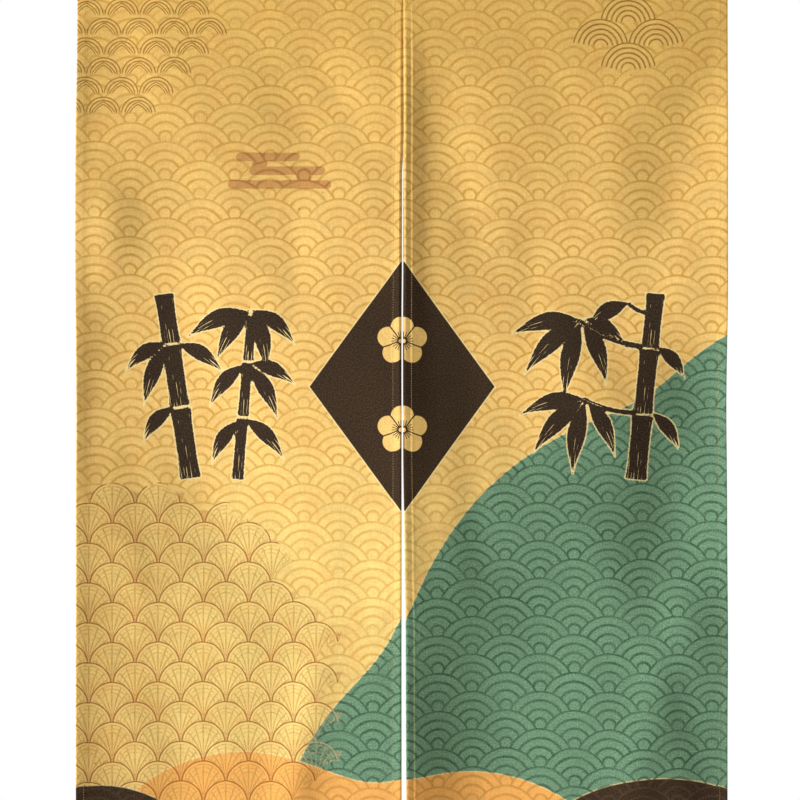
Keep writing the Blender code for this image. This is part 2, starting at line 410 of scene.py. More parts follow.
FanArc = namedtuple("FanArc", "inward width")
FAN_ARCS = (FanArc(0.0, 1.15), FanArc(4.4, 0.75), FanArc(9.0, 0.75), FanArc(14.2, 0.7))
ARCS = Scales(radius=22.0, pitch=46.0, row=26.0, across=0.0, drop=10.0, rows_deep=2)
ARCHES = Scales(radius=35.5, pitch=73.0, row=31.0, across=16.0, drop=0.0, rows_deep=3)
PEAKS, PEAK_POWER = (15.4, 12.0), 1.35
CUT_FURTHER = 13.0
Patch = namedtuple("Patch", "x drop radius")
FAN_PATCH = Patch(x=-356.0, drop=1010.0, radius=262.0)
ARC_PATCH = Patch(x=-400.0, drop=105.0, radius=165.0)
ARCH_PATCH = Patch(x=300.0, drop=150.0, radius=62.0)
Bar = namedtuple("Bar", "x drop half thick")
MIST_BARS = (
    Bar(-176, 300, 36, 5.6), Bar(-150, 318, 44, 5.6), Bar(-160, 336, 62, 5.6), Bar(-186, 309, 4, 6.0),
    Bar(-128, 327, 4, 6.0),
)
LOZENGE_DROP, LOZENGE_HALF_WIDTH, LOZENGE_HALF_HEIGHT = 600.0, 120.0, 163.0
BLOSSOM_DROPS = (541.0, 657.0)
PETAL_OUT, PETAL_RADIUS, PETALS = 18.0, 13.4, 5
# How far the lines stray, in millimetres, and how many of each unevenness there are to a millimetre. The
# threads, 0.4 mm apart, are too fine for the picture, so coarser slubs and grains stand for them.
SHIFT = 2.2
DRIFTS, CLOUDS, MOTTLES, STAINS, FRAYS = 0.05, 0.03, 0.16, 0.022, 0.045
RAGS, HAIRS, GRAINS, FLECKS = 0.30, 0.75, 0.5, 0.03


def line_ink(tree, off, start, end):
    """The ink of a line or spot at a distance off its middle: full up to the start, none from the end."""
    off = add(tree, "Math", [off], operation="ABSOLUTE")
    return add(tree, "MapRange", [off, start, end, 1.0, 0.0], interpolation_type="SMOOTHSTEP")


def scale_at(tree, across, height, scales, rim):
    """The front scale at a point: how far the point is to the right of its centre, above it, and from it."""
    reach = scales.radius + rim
    top_row = (reach - scales.drop) / scales.row
    steps = add(tree, "Math", [height, -1 / scales.row, top_row], operation="MULTIPLY_ADD")
    row = add(tree, "Math", [steps], operation="FLOOR")
    part = add(tree, "Math", [steps], operation="FRACT")
    odd = add(tree, "Math", [row, 1.0], operation="PINGPONG")
    sides = []
    for offset in (0.0, scales.pitch / 2):
        moved = add(tree, "Math", [across, offset - scales.across], operation="ADD")
        sides.append(add(tree, "Math", [moved, scales.pitch / 2, -scales.pitch / 2], operation="WRAP"))
    sides = [
        add(tree, "Mix", {0: odd, 2: a, 3: b}, data_type="FLOAT")
        for a, b in (sides, reversed(sides))
    ]
    chosen = None
    for back in reversed(range(scales.rows_deep)):
        up = add(tree, "Math", [part, -scales.row, reach - back * scales.row], operation="MULTIPLY_ADD")
        here = sides[back % 2], up
        if chosen is None:
            chosen = here
            continue
        square = add(tree, "Math", [up, up], operation="MULTIPLY")
        square = add(tree, "Math", [here[0], here[0], square], operation="MULTIPLY_ADD")
        inside = add(tree, "Math", [square, reach * reach], operation="LESS_THAN")
        chosen = [
            add(tree, "Mix", {0: inside, 2: behind, 3: front}, data_type="FLOAT")
            for behind, front in zip(chosen, here)
        ]
    square = add(tree, "Math", [chosen[1], chosen[1]], operation="MULTIPLY")
    square = add(tree, "Math", [chosen[0], chosen[0], square], operation="MULTIPLY_ADD")
    return *chosen, add(tree, "Math", [square], operation="SQRT")


def rings(tree, far, scales, spacing, innermost, line):
    """The ink of a scale's outer ring and of rings ever a spacing further in, down to the innermost."""
    inward = add(tree, "Math", [scales.radius, far], operation="SUBTRACT")
    inward = add(tree, "Math", [inward, scales.radius - innermost + spacing / 2], operation="MINIMUM")
    gap = add(tree, "Math", [inward, spacing / 2], operation="PINGPONG")
    return add(tree, "MapRange", [gap, line * 0.2, line * 0.8, 1.0, 0.0])


def from_patch(tree, across, height, patch):
    """How far a point is from the middle of a patch."""
    place = add(tree, "CombineXYZ", [across, height, 0.0])
    middle = (patch.x, -patch.drop, 0.0)
    return add(tree, "VectorMath", [place, middle], out="Value", operation="DISTANCE")


def within(tree, across, height, scale, patch):
    """1 where the whole scale that a point is in belongs to a patch."""
    middle_x = add(tree, "Math", [across, scale[0]], operation="SUBTRACT")
    middle_y = add(tree, "Math", [height, scale[1]], operation="SUBTRACT")
    away = from_patch(tree, middle_x, middle_y, patch)
    return add(tree, "Math", [away, patch.radius], operation="LESS_THAN")


def overlap(tree, *amounts):
    """How much is left where several amounts meet: their product."""
    left = amounts[0]
    for amount in amounts[1:]:
        left = add(tree, "Math", [left, amount], operation="MULTIPLY")
    return left


def printed(tree, ground, dye, *amounts):
    """A ground with a dye over it where all the amounts meet. Each of the two is a colour or its code."""
    ground, dye = (linear(tint) if isinstance(tint, str) else tint for tint in (ground, dye))
    return add(tree, "Mix", {0: overlap(tree, *amounts), 6: ground, 7: dye}, out=2, data_type="RGBA")


def printed_cloth():
    """Plain-woven polyester and cotton, printed with matt dyes: soft, slubby, and without shine."""
    material = bpy.data.materials.new("printed_plain_weave")
    material.use_nodes = True
    tree = material.node_tree
    tree.nodes.clear()
    flat = add(tree, "UVMap", uv_map="cloth")
    flat = add(tree, "VectorMath", {"Vector": flat, "Scale": MM}, operation="SCALE")
    flat_across, flat_height = (add(tree, "SeparateXYZ", [flat], out=axis) for axis in "XY")
    # The screen shifted a little as it printed, so no line runs quite true.
    noise = {"Vector": flat, "Scale": DRIFTS, "Detail": 5.0, "Roughness": 0.6}
    drift = add(tree, "TexNoise", noise, out="Color")
    drift = add(tree, "VectorMath", [drift, (0.5, 0.5, 0.5)], operation="SUBTRACT")
    drawn = add(tree, "VectorMath", [drift, (SHIFT, SHIFT, 0.0), flat], operation="MULTIPLY_ADD")
    across, height = (add(tree, "SeparateXYZ", [drawn], out=axis) for axis in "XY")
    edges = {
        name: add(tree, "Attribute", out="Fac", attribute_name=name)
        for name in ("green", "orange", "dark", "ink", "brush_along", "brush_aside", "brush_dry", "reverse")
    }
    inside = {name: add(tree, "MapRange", [edges[name], -0.5, 0.5]) for name in ("green", "orange", "dark")}
    clouds = add(tree, "TexNoise", {"Vector": flat, "Scale": CLOUDS, "Detail": 3.0, "Roughness": 0.6})
    mottle = add(tree, "TexNoise", {"Vector": flat, "Scale": MOTTLES, "Detail": 2.0, "Roughness": 0.65})
    # The right panel was cut from the print a little further on, so the waves don't meet at the slit.
    on_right = add(tree, "Math", [flat_across, 0.0], operation="GREATER_THAN")
    across = add(tree, "Math", [on_right, CUT_FURTHER, across], operation="MULTIPLY_ADD")

    # The mist bars lie under the waves.
    mist = 0.0
    for bar in MIST_BARS:
        aside = add(tree, "Math", [across, bar.x], operation="SUBTRACT")
        aside = add(tree, "Math", [aside], operation="ABSOLUTE")
        aside = add(tree, "Math", [aside, bar.half], operation="SUBTRACT")
        aside = add(tree, "Math", [aside, 0.0], operation="MAXIMUM")
        above = add(tree, "Math", [height, bar.drop], operation="ADD")
        place = add(tree, "CombineXYZ", [aside, above, 0.0])
        away = add(tree, "VectorMath", [place], out="Value", operation="LENGTH")
        bar_dye = line_ink(tree, away, bar.thick - 0.6, bar.thick + 0.6)
        mist = add(tree, "Math", [mist, bar_dye], operation="MAXIMUM")

    # The gold is darker at the top and paler low down, less so towards the far left edge, and a little
    # stained.
    deep = add(tree, "MapRange", [height, -420.0, -120.0, 0.0, 1.0])
    low = add(tree, "MapRange", [height, -620.0, -800.0, 0.0, 1.0])
    low = overlap(tree, low, add(tree, "MapRange", [across, -400.0, -240.0, 0.25, 1.0]))
    stained = add(tree, "TexNoise", {"Vector": flat, "Scale": STAINS, "Detail": 4.0, "Roughness": 0.62})
    ground = printed(tree, GOLD, GOLD_TOP, deep)
    ground = printed(tree, ground, GOLD_LOW, low)
    ground = printed(tree, ground, OLD_GOLD, add(tree, "MapRange", [stained, 0.45, 0.72, 0.0, 0.5]))
    ground = printed(tree, ground, MIST, mist)
    lines = printed(tree, GOLD_LINE, MIST_LINE, mist)
    for name, field, line in (
        ("green", GREEN, GREEN_LINE), ("orange", ORANGE, ORANGE_LINE), ("dark", DARK, DARK_LINE)
    ):
        ground = printed(tree, ground, field, inside[name])
        ground = printed(tree, ground, HALO, line_ink(tree, edges[name], 0.4, 1.3), 0.55)
        lines = printed(tree, lines, line, inside[name])
    wave = scale_at(tree, across, height, WAVES, rim=1.0)
    wave_ink = rings(tree, wave[2], WAVES, spacing=11.9, innermost=8.8, line=3.3)
    on_gold = add(tree, "Math", [1.0, inside["green"]], operation="SUBTRACT")
    pale = overlap(tree, low, on_gold)
    wave_ink = overlap(
        tree,
        wave_ink,
        add(tree, "MapRange", [wave[1], -4.5, -0.5]),
        add(tree, "MapRange", [clouds, 0.35, 0.65, 0.55, 1.0]),
        add(tree, "MapRange", [pale, 0.0, 1.0, 1.0, 0.75]),
    )

    # The fans hide the waves: a firm rim, faint arcs inside it, and ribs that spread from the foot and
    # curve outwards. At the patch's border they break off, and only the feet of the next ones are begun.
    fan = scale_at(tree, across, height, FANS, rim=0.6)
    away = from_patch(tree, across, height, FAN_PATCH)
    fray = add(tree, "TexNoise", {"Vector": flat, "Scale": FRAYS, "Detail": 2.0})
    fray = add(tree, "Math", [fray, 70.0, away], operation="MULTIPLY_ADD")
    fray = line_ink(tree, fray, FAN_PATCH.radius + 52.0, FAN_PATCH.radius + 62.0)
    on_light = add(tree, "Math", [1.0, inside["dark"]], operation="SUBTRACT")
    on_green = add(tree, "Math", [inside["green"], inside["orange"]], operation="SUBTRACT")
    on_green = add(tree, "Math", [overlap(tree, on_green, on_light), 0.0], operation="MAXIMUM")
    in_patch = overlap(tree, within(tree, across, height, fan, FAN_PATCH), on_light, fray)
    hides = overlap(tree, in_patch, add(tree, "MapRange", [on_green, 0.0, 1.0, 1.0, 0.25]))
    bare = add(tree, "Math", [1.0, hides], operation="SUBTRACT")
    colour = printed(tree, ground, lines, wave_ink, bare)
    rims = []
    for arc in FAN_ARCS:
        rim = add(tree, "Math", [fan[2], arc.inward - FANS.radius], operation="ADD")
        rims.append(line_ink(tree, rim, arc.width - 0.4, arc.width + 0.4))
    up = add(tree, "Math", [fan[1], FAN_FOOT], operation="ADD")
    spoke = add(tree, "CombineXYZ", [fan[0], up, 0.0])
    spoke = add(tree, "VectorMath", [spoke], out="Value", operation="LENGTH")
    turn = add(tree, "Math", [fan[0], up], operation="ARCTAN2")
    curl = add(tree, "MapRange", [spoke, 0.0, FANS.radius + FAN_FOOT, 0.45, 1.15])
    turn = add(tree, "Math", [turn, curl], operation="DIVIDE")
    turn = add(tree, "Math", [turn, FAN_TURN], operation="PINGPONG")
    rib = overlap(
        tree,
        line_ink(tree, overlap(tree, turn, spoke, curl), 0.5, 1.5),
        line_ink(tree, fan[2], 23.5, 26.0),
        line_ink(tree, turn, FAN_TURN * 0.35, FAN_TURN * 0.65),
    )
    inner = 0.0
    for rim in rims[1:]:
        inner = add(tree, "Math", [inner, rim], operation="MAXIMUM")
    inner = overlap(tree, inner, add(tree, "MapRange", [mottle, 0.42, 0.58, 0.15, 0.85]))
    faint = overlap(tree, rib, add(tree, "MapRange", [mottle, 0.38, 0.6, 0.45, 0.95]))
    faint = add(tree, "Math", [faint, inner], operation="MAXIMUM")
    begun = within(tree, across, height, fan, FAN_PATCH._replace(radius=FAN_PATCH.radius + 30.0))
    begun = overlap(tree, begun, on_light, line_ink(tree, spoke, 11.0, 17.0), rib)
    faint = add(tree, "Math", [overlap(tree, faint, in_patch), begun], operation="MAXIMUM")
    rim_dye = printed(tree, FAN_RIM, FAN_ON_GREEN, on_green)
    rib_dye = printed(tree, FAN_FOOT_LINE, FAN_LINE, add(tree, "MapRange", [spoke, 8.0, 30.0]))
    rib_dye = printed(tree, rib_dye, FAN_ON_GREEN, on_green)
    colour = printed(tree, colour, rib_dye, faint, 0.75)
    colour = printed(tree, colour, rim_dye, rims[0], in_patch, 0.85)

    # The double arcs, with two peaked lines each, veil the waves, and the close-set arches hide them. Only
    # the upper halves of both are drawn.
    for scales, patch, spacing, innermost, line, veil in (
        (ARCS, ARC_PATCH, 4.6, 17.4, 1.7, 0.5), (ARCHES, ARCH_PATCH, 6.5, 9.5, 2.2, 0.95)
    ):
        arc = scale_at(tree, across, height, scales, rim=0.8)
        shown = overlap(
            tree,
            add(tree, "MapRange", [arc[1], -1.0, 3.0]),
            add(tree, "MapRange", [arc[2], scales.radius + 0.8, scales.radius + 1.4, 1.0, 0.0]),
            within(tree, across, height, arc, patch),
        )
        arc_ink = rings(tree, arc[2], scales, spacing, innermost, line)
        if scales is ARCS:
            sides = [add(tree, "Math", [part], operation="ABSOLUTE") for part in arc[:2]]
            sides = [add(tree, "Math", [side, PEAK_POWER], operation="POWER") for side in sides]
            peak = add(tree, "Math", sides, operation="ADD")
            peak = add(tree, "Math", [peak, 1 / PEAK_POWER], operation="POWER")
            for reach in PEAKS:
                off = add(tree, "Math", [peak, reach], operation="SUBTRACT")
                arc_ink = add(tree, "Math", [arc_ink, line_ink(tree, off, 0.35, 1.1)], operation="MAXIMUM")
        colour = printed(tree, colour, ground, shown, veil)
        uneven = add(tree, "MapRange", [mottle, 0.32, 0.55, 0.6, 0.9])
        colour = printed(tree, colour, ARCH_LINE, arc_ink, uneven, shown)

    # The lozenge, with its pale edge, and the blossoms on it: petals with dark gaps and stamens.
    wide = add(tree, "Math", [flat_across], operation="ABSOLUTE")
    high = add(tree, "Math", [flat_height, LOZENGE_DROP], operation="ADD")
    high = add(tree, "Math", [high], operation="ABSOLUTE")
    slope = LOZENGE_HALF_WIDTH / LOZENGE_HALF_HEIGHT
    past = add(tree, "Math", [high, slope, wide], operation="MULTIPLY_ADD")
    past = add(tree, "Math", [past, LOZENGE_HALF_WIDTH], operation="SUBTRACT")
    past = add(tree, "Math", [past, math.cos(math.atan(slope))], operation="MULTIPLY")
    colour = printed(tree, colour, HALO, line_ink(tree, past, 1.2, 2.1), 0.8)
    lozenge = add(tree, "MapRange", [past, -0.4, 0.4, 1.0, 0.0], interpolation_type="SMOOTHSTEP")
    colour = printed(tree, colour, DARK, lozenge)
    for drop in BLOSSOM_DROPS:
        up = add(tree, "Math", [flat_height, drop], operation="ADD")
        place = add(tree, "CombineXYZ", [flat_across, up, 0.0])
        far = add(tree, "VectorMath", [place], out="Value", operation="LENGTH")
        angle = add(tree, "Math", [flat_across, up], operation="ARCTAN2")
        turn = add(tree, "Math", [angle, math.pi / PETALS], operation="PINGPONG")
        square = add(tree, "Math", [far, far], operation="MULTIPLY")
        leg = overlap(tree, add(tree, "Math", [turn], operation="COSINE"), far)
        leg = add(tree, "Math", [leg, -2.0 * PETAL_OUT, PETAL_OUT**2], operation="MULTIPLY_ADD")
        petal = add(tree, "Math", [add(tree, "Math", [square, leg], operation="ADD")], operation="SQRT")
        gap = add(tree, "Math", [math.pi / PETALS, turn], operation="SUBTRACT")
        gap = line_ink(tree, overlap(tree, gap, far), 0.5, 1.2)
        stamen = add(tree, "Math", [angle, math.pi / PETALS / 4], operation="PINGPONG")
        stamen = line_ink(tree, overlap(tree, stamen, far), 0.3, 0.8)
        stamen = overlap(tree, stamen, line_ink(tree, far, 12.0, 13.0))
        shown = overlap(
            tree,
            line_ink(tree, petal, PETAL_RADIUS - 0.5, PETAL_RADIUS + 0.5),
            add(tree, "Math", [1.0, gap], operation="SUBTRACT"),
            add(tree, "Math", [1.0, stamen], operation="SUBTRACT"),
            add(tree, "MapRange", [far, 4.6, 5.4]),
        )
        shown = add(tree, "Math", [shown, line_ink(tree, far, 2.4, 3.2)], operation="MAXIMUM")
        colour = printed(tree, colour, GOLD, shown)

    # The brushed ink has a ragged edge inside a pale halo, and it streaks where the brush ran dry.
    ragged = add(tree, "TexNoise", {"Vector": flat, "Scale": RAGS, "Detail": 2.0})
    ragged = add(tree, "Math", [ragged, 2.6, -1.3], operation="MULTIPLY_ADD")
    ragged = add(tree, "Math", [ragged, edges["ink"]], operation="ADD")
    beside = add(tree, "MapRange", [ragged, -2.2, -1.2])
    colour = printed(tree, colour, HALO, beside, 0.8)
    hairs = add(tree, "Math", [edges["brush_along"], 0.035], operation="MULTIPLY")
    hairs = add(tree, "CombineXYZ", [hairs, edges["brush_aside"], 0.0])
    hairs = add(tree, "TexNoise", {"Vector": hairs, "Scale": HAIRS, "Detail": 2.0})
    dry = add(tree, "Math", [edges["brush_dry"], -0.17, 0.76], operation="MULTIPLY_ADD")
    dry = add(tree, "Math", [hairs, dry], operation="SUBTRACT")
    wet = add(tree, "MapRange", [dry, -0.02, 0.02, 1.0, 0.0], interpolation_type="SMOOTHSTEP")
    brushed = add(tree, "MapRange", [ragged, -0.4, 0.4])
    colour = printed(tree, colour, INK, brushed, wet)

    # The cloth under the dye: cloudy where it took more of it, streaked by slubs along both threads, and
    # flecked. Green dye, being darker, shows the threads' crowns and hollows more.
    warp = add(tree, "VectorMath", [flat, (1.1, 0.07, 1.0)], operation="MULTIPLY")
    weft = add(tree, "VectorMath", [flat, (0.07, 1.1, 1.0)], operation="MULTIPLY")
    warp = add(tree, "TexNoise", {"Vector": warp, "Scale": 1.0, "Detail": 1.0})
    weft = add(tree, "TexNoise", {"Vector": weft, "Scale": 1.0, "Detail": 1.0})
    threads = add(tree, "Math", [warp, weft], operation="ADD")
    grain = add(tree, "TexNoise", {"Vector": flat, "Scale": GRAINS, "Detail": 2.0, "Roughness": 0.7})
    hollow = add(tree, "MapRange", [on_green, 0.0, 1.0, 0.89, 0.62])
    crown = add(tree, "MapRange", [on_green, 0.0, 1.0, 1.09, 1.33])
    tone = overlap(
        tree,
        add(tree, "MapRange", [threads, 0.7, 1.3, 0.92, 1.07]),
        add(tree, "MapRange", [grain, 0.3, 0.7, hollow, crown]),
        add(tree, "MapRange", [mottle, 0.3, 0.7, 0.93, 1.06]),
        add(tree, "MapRange", [clouds, 0.3, 0.7, 0.93, 1.05]),
    )
    colour = add(tree, "VectorMath", {"Vector": colour, "Scale": tone}, operation="SCALE")
    cells = {"Vector": flat, "Scale": FLECKS}
    speck = add(tree, "TexVoronoi", cells, out="Distance")
    chance = add(tree, "SeparateXYZ", [add(tree, "TexVoronoi", cells, out="Color")], out="X")
    least = add(tree, "MapRange", [on_green, 0.0, 1.0, 0.55, 0.15])
    size = add(tree, "MapRange", [chance, least, 1.0, 0.0, 0.045])
    speck = add(tree, "Math", [speck, size], operation="SUBTRACT")
    speck = add(tree, "MapRange", [speck, -0.02, 0.012, 1.0, 0.0], interpolation_type="SMOOTHSTEP")
    rare = add(tree, "Math", [chance, least], operation="GREATER_THAN")
    fleck = printed(tree, FLECK, GREEN_FLECK, inside["green"])
    colour = printed(tree, colour, fleck, speck, rare, 0.6)
    # The reverse shows the print palely, and so do the crowns of the threads.
    colour = printed(tree, colour, REVERSE, add(tree, "MapRange", [grain, 0.4, 0.7, 0.0, 0.04]))
    colour = printed(tree, colour, REVERSE, edges["reverse"], 0.5)

    bump = add(tree, "Bump", {"Height": threads, "Strength": 0.3, "Distance": 0.0004})
    surface = add(tree, "BsdfPrincipled", {
        "Base Color": colour, "Roughness": 0.92, "Specular IOR Level": 0.1, "Sheen Weight": 0.04,
        "Normal": bump,
    })
    add(tree, "OutputMaterial", [surface])
    return material


# The two panels. Each is one length of plain-woven cloth, printed on its front. Its sides are turned to
# the back and its foot is turned up over them, so that the printed side shows on the turned strips too.
CLOTH = 0.0007
TURN = 0.00095
SIDE_TURNED = 0.0118
FOOT_TURNED = 0.021
TUCKED_DROP = 0.062
HEM_EASE = 0.0025
PROUD = 0.00022
BEND_STEPS = 4


def spread(stops):
    """Places from stop to stop. Each stop says how far apart the places up to the next one are."""
    places = []
    for (start, pitch), (end, _) in zip(stops, stops[1:]):
        count = max(1, round((end - start) / pitch))
        places += [start + (end - start) * i / count for i in range(count)]
    return np.array([*places, stops[-1][0]])


def turned(beyond, radius):
    """Where cloth lies that goes over an edge and back behind it, as (past the edge's start, depth)."""
    angle = np.clip(beyond / radius, 0.0, math.pi)
    flat = np.clip(beyond - math.pi * radius, 0.0, None)
    past = np.where(beyond <= 0, beyond, radius * np.sin(angle) - flat)
    return past, radius * (1.0 - np.cos(angle))


def lattice(columns, rows):
    """A flat grid, with the column and row of each of its points."""
    sheet = bmesh.new()
    bmesh.ops.create_grid(sheet, x_segments=len(columns) - 1, y_segments=len(rows) - 1, size=0.5)
    flat = np.array([vert.co for vert in sheet.verts])
    column = np.rint((flat[:, 0] + 0.5) * (len(columns) - 1)).astype(int)
    row = np.rint((0.5 - flat[:, 1]) * (len(rows) - 1)).astype(int)
    return sheet, column, row


def thickened(name, sheet, places, flat, fields):
    """The closed cloth of a grid whose points are put in place. Its front is the printed side, flat is
    where each point lies on the uncut cloth, and fields are named numbers for the print."""
    for vert, place in zip(sheet.verts, places):
        vert.co = place
    sheet.normal_update()
    fronts = list(sheet.verts)
    printed = list(sheet.faces)
    turned_over = bmesh.ops.extrude_face_region(sheet, geom=printed)["geom"]
    backs = [item for item in turned_over if isinstance(item, bmesh.types.BMVert)]
    sheet.verts.index_update()
    order = {tuple(vert.co): index for index, vert in enumerate(fronts)}
    source = np.arange(len(sheet.verts))
    reverse = np.zeros(len(sheet.verts))
    for back in backs:
        front = order[tuple(back.co)]
        source[back.index] = fronts[front].index
        reverse[back.index] = 1.0
    normals = {back: fronts[order[tuple(back.co)]].normal.copy() for back in backs}
    for back in backs:
        back.co -= normals[back] * CLOTH
    mesh = bpy.data.meshes.new(name)
    sheet.to_mesh(mesh)
    sheet.free()
    for label, values in {**fields, "reverse": None}.items():
        layer = mesh.attributes.new(label, "FLOAT", "POINT")
        layer.data.foreach_set("value", reverse if values is None else values[source])
    corners = np.empty(len(mesh.loops), dtype=int)
    mesh.loops.foreach_get("vertex_index", corners)
    mesh.uv_layers.new(name="cloth").uv.foreach_set("vector", flat[source][corners].ravel())
    mesh.shade_smooth()
    piece = bpy.data.objects.new(name, mesh)
    bpy.context.scene.collection.objects.link(piece)
    return piece


def panel(side):
    """One panel: its front in folds, and its turned sides and foot."""
    towards = -1.0 if side == "left" else 1.0
    half = WIDTH / 2
    back = TURN * math.pi + SIDE_TURNED
    columns = spread([
        (-back, 0.003), (-TURN * math.pi, TURN * math.pi / BEND_STEPS), (0.0, 0.0009), (0.0162, 0.002),
        (0.030, 0.005), (0.140, 0.0029), (0.362, 0.005), (half - 0.014, 0.0016),
        (half, TURN * math.pi / BEND_STEPS),
        (half + TURN * math.pi, 0.003), (half + back, 0.003),
    ])
    up = TURN * 2 * math.pi + FOOT_TURNED
    rows = spread([
        (TUCKED_DROP, 0.005), (0.460, 0.0029), (0.735, 0.005), (DROP - 0.024, 0.002),
        (DROP, 0.0012), (DROP + TURN * 2 * math.pi, 0.003), (DROP + up, 0.003),
    ])
    sheet, column, row = lattice(columns, rows)
    from_slit, flat_drop = columns[column], rows[row]

    past_in, depth_in = turned(-from_slit, TURN)
    past_out, depth_out = turned(from_slit - half, TURN)
    side_depth = depth_in + depth_out
    x = TURN + from_slit * (half - 2 * TURN) / half
    x = np.where(from_slit < 0, TURN - past_in, x)
    x = np.where(from_slit > half, half - TURN + past_out, x)
    from_edge = np.minimum(x, half - x)
    hemmed = 1.0 - smooth((from_edge - SIDE_TURNED) / HEM_EASE)

    bend = TURN * (1.0 + 1.15 * hemmed)
    past_foot, _ = turned(flat_drop - DROP, bend)
    drop = DROP - bend + past_foot
    drop = np.where(flat_drop <= DROP, flat_drop * (DROP - bend) / DROP, drop)
    around = np.clip((flat_drop - DROP) / bend, 0.0, math.pi)
    reach = bend - side_depth
    drop = np.where((flat_drop > DROP) & (around < math.pi), DROP - bend + reach * np.sin(around), drop)
    depth = bend - reach * np.cos(around)
    depth = np.where(flat_drop <= DROP, side_depth, depth)

    in_foot = 1.0 - smooth((DROP - drop - FOOT_TURNED) / HEM_EASE)
    proud = np.maximum(hemmed, in_foot)
    inner = slit_edge(side, np.clip(drop, 0.0, DROP))
    x = inner + x * (half - inner) / half
    y = hang(side, towards * x, drop) - CLOTH / 2 - PROUD * proud + depth
    places = np.stack([towards * x, y, -drop], axis=1)
    flat = np.stack([towards * from_slit, -flat_drop], axis=1)
    if side == "right":
        bmesh.ops.reverse_faces(sheet, faces=sheet.faces)
    fields = print_fields(flat[:, 0] * MM, -flat[:, 1] * MM)
    made = thickened("panel_" + side + "_cloth", sheet, places, flat, fields)
    return made, (float(np.ptp(columns)), float(np.ptp(rows)))


cloth = printed_cloth()
panels = {side: panel(side) for side in ("left", "right")}
for side, (piece, _) in panels.items():
    piece.data.materials.append(cloth)
    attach(piece, "root")
    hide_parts("panel_" + side)


# The heading. One strip of the same cloth is folded over the panels' tops, with its long edges turned in,
# and sewn through them. The fold is the sleeve for a rod and is left open at both ends.
SLEEVE_RADIUS = 0.01065
SLEEVE_FOOT = 0.057
HEADING_DROP = 0.078
TURNED_IN = 0.012
LEG_INNER, LEG_OUTER = 0.00115, 0.00265
BACK_SET = 0.00035
STRIP_PITCH = 0.005
# The slack of the sleeve swells and sags a little along the rod.
SLACK_LENGTH, SLACK_DRIFT, SLACK_SWELL, SLACK_SAG = 0.083, 0.31, 0.02, 0.0002


def heading_profile():
    """Points (y, drop) down the strip's middle: up the front leg, over the rod, and down the back one."""
    bend = (LEG_OUTER - LEG_INNER) / 2
    fall = SLEEVE_FOOT - SLEEVE_RADIUS
    turn = math.atan2(LEG_OUTER, fall) + math.acos(SLEEVE_RADIUS / math.hypot(LEG_OUTER, fall))
    touch = SLEEVE_RADIUS * math.sin(turn), SLEEVE_RADIUS * (1.0 + math.cos(turn))
    low = HEADING_DROP - bend
    leg = [(LEG_INNER, drop) for drop in np.linspace(low - TURNED_IN, low, 5)[:-1]]
    leg += [
        (LEG_INNER + bend * (1.0 - math.cos(angle)), low + bend * math.sin(angle))
        for angle in np.linspace(0.0, math.pi, BEND_STEPS + 1)[:-1]
    ]
    leg += [(LEG_OUTER, drop) for drop in np.linspace(low, SLEEVE_FOOT, 6)[:-1]]
    leg += list(zip(np.linspace(LEG_OUTER, touch[0], 7)[:-1], np.linspace(SLEEVE_FOOT, touch[1], 7)[:-1]))
    arc = [
        (SLEEVE_RADIUS * math.sin(angle), SLEEVE_RADIUS * (1.0 + math.cos(angle)))
        for angle in np.linspace(turn, math.pi, 13)
    ]
    back = leg + arc
    return np.array([*[(-y, drop) for y, drop in back[:-1]], *reversed(back)])


def heading():
    """The strip, as a closed cloth, and its flat size."""
    profile = heading_profile()
    across = np.linspace(-WIDTH / 2, WIDTH / 2, round(WIDTH / STRIP_PITCH) + 1)
    run = np.concatenate([[0.0], np.cumsum(np.hypot(*np.diff(profile, axis=0).T))])
    sheet, column, row = lattice(across, run)
    x = across[column]
    y, drop = profile[row].T
    slack = np.sin(math.tau * x / SLACK_LENGTH + 1.5 * np.sin(math.tau * x / SLACK_DRIFT))
    swell = smooth((SLEEVE_FOOT - drop) / 0.03) * SLACK_SWELL * slack
    y = BACK_SET * smooth(drop / SLEEVE_FOOT) + y * (1.0 + swell)
    y = y + np.where(x < 0, hang("left", x, drop), hang("right", x, drop))
    sag = SLACK_SAG * (1.0 + slack) * smooth(1.0 - drop / SLEEVE_RADIUS)
    places = np.stack([x, y, -drop - sag], axis=1)
    flat = np.stack([x, run[row] - TURNED_IN - HEADING_DROP], axis=1)
    fields = print_fields(flat[:, 0] * MM, -flat[:, 1] * MM)
    made = thickened("heading_cloth", sheet, places, flat, fields)
    return made, (WIDTH, float(run[-1]))


strip, strip_size = heading()
strip.data.materials.append(cloth)
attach(strip, "root")
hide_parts("heading")


# The sewing. A lockstitch in brownish-olive thread runs down both sides of each panel and along its foot,
# on the front and on the back, and twice along the heading. The panels' inner edges are whipped together
# from behind down to the head of the slit. Each stitch is a small bead of thread half sunk in the cloth.
THREAD = "BA9B58"
STITCH_PITCH = 0.0032
STITCH = (0.0024, 0.00055, 0.00038)
INNER_SEAM, OUTER_SEAM = 0.0112, 0.0101
FOOT_SEAM = 0.0195
FOOT_SEAM_END = 0.002
HEADING_SEAMS = (0.0605, 0.0745)
HEADING_SEAM_END = 0.003
WHIP_X = 0.00135
WHIP_SLANT = (0.94, 0.34)
FRONT_FACE = -CLOTH / 2 - PROUD
BACK_FACE = FRONT_FACE + 2 * TURN


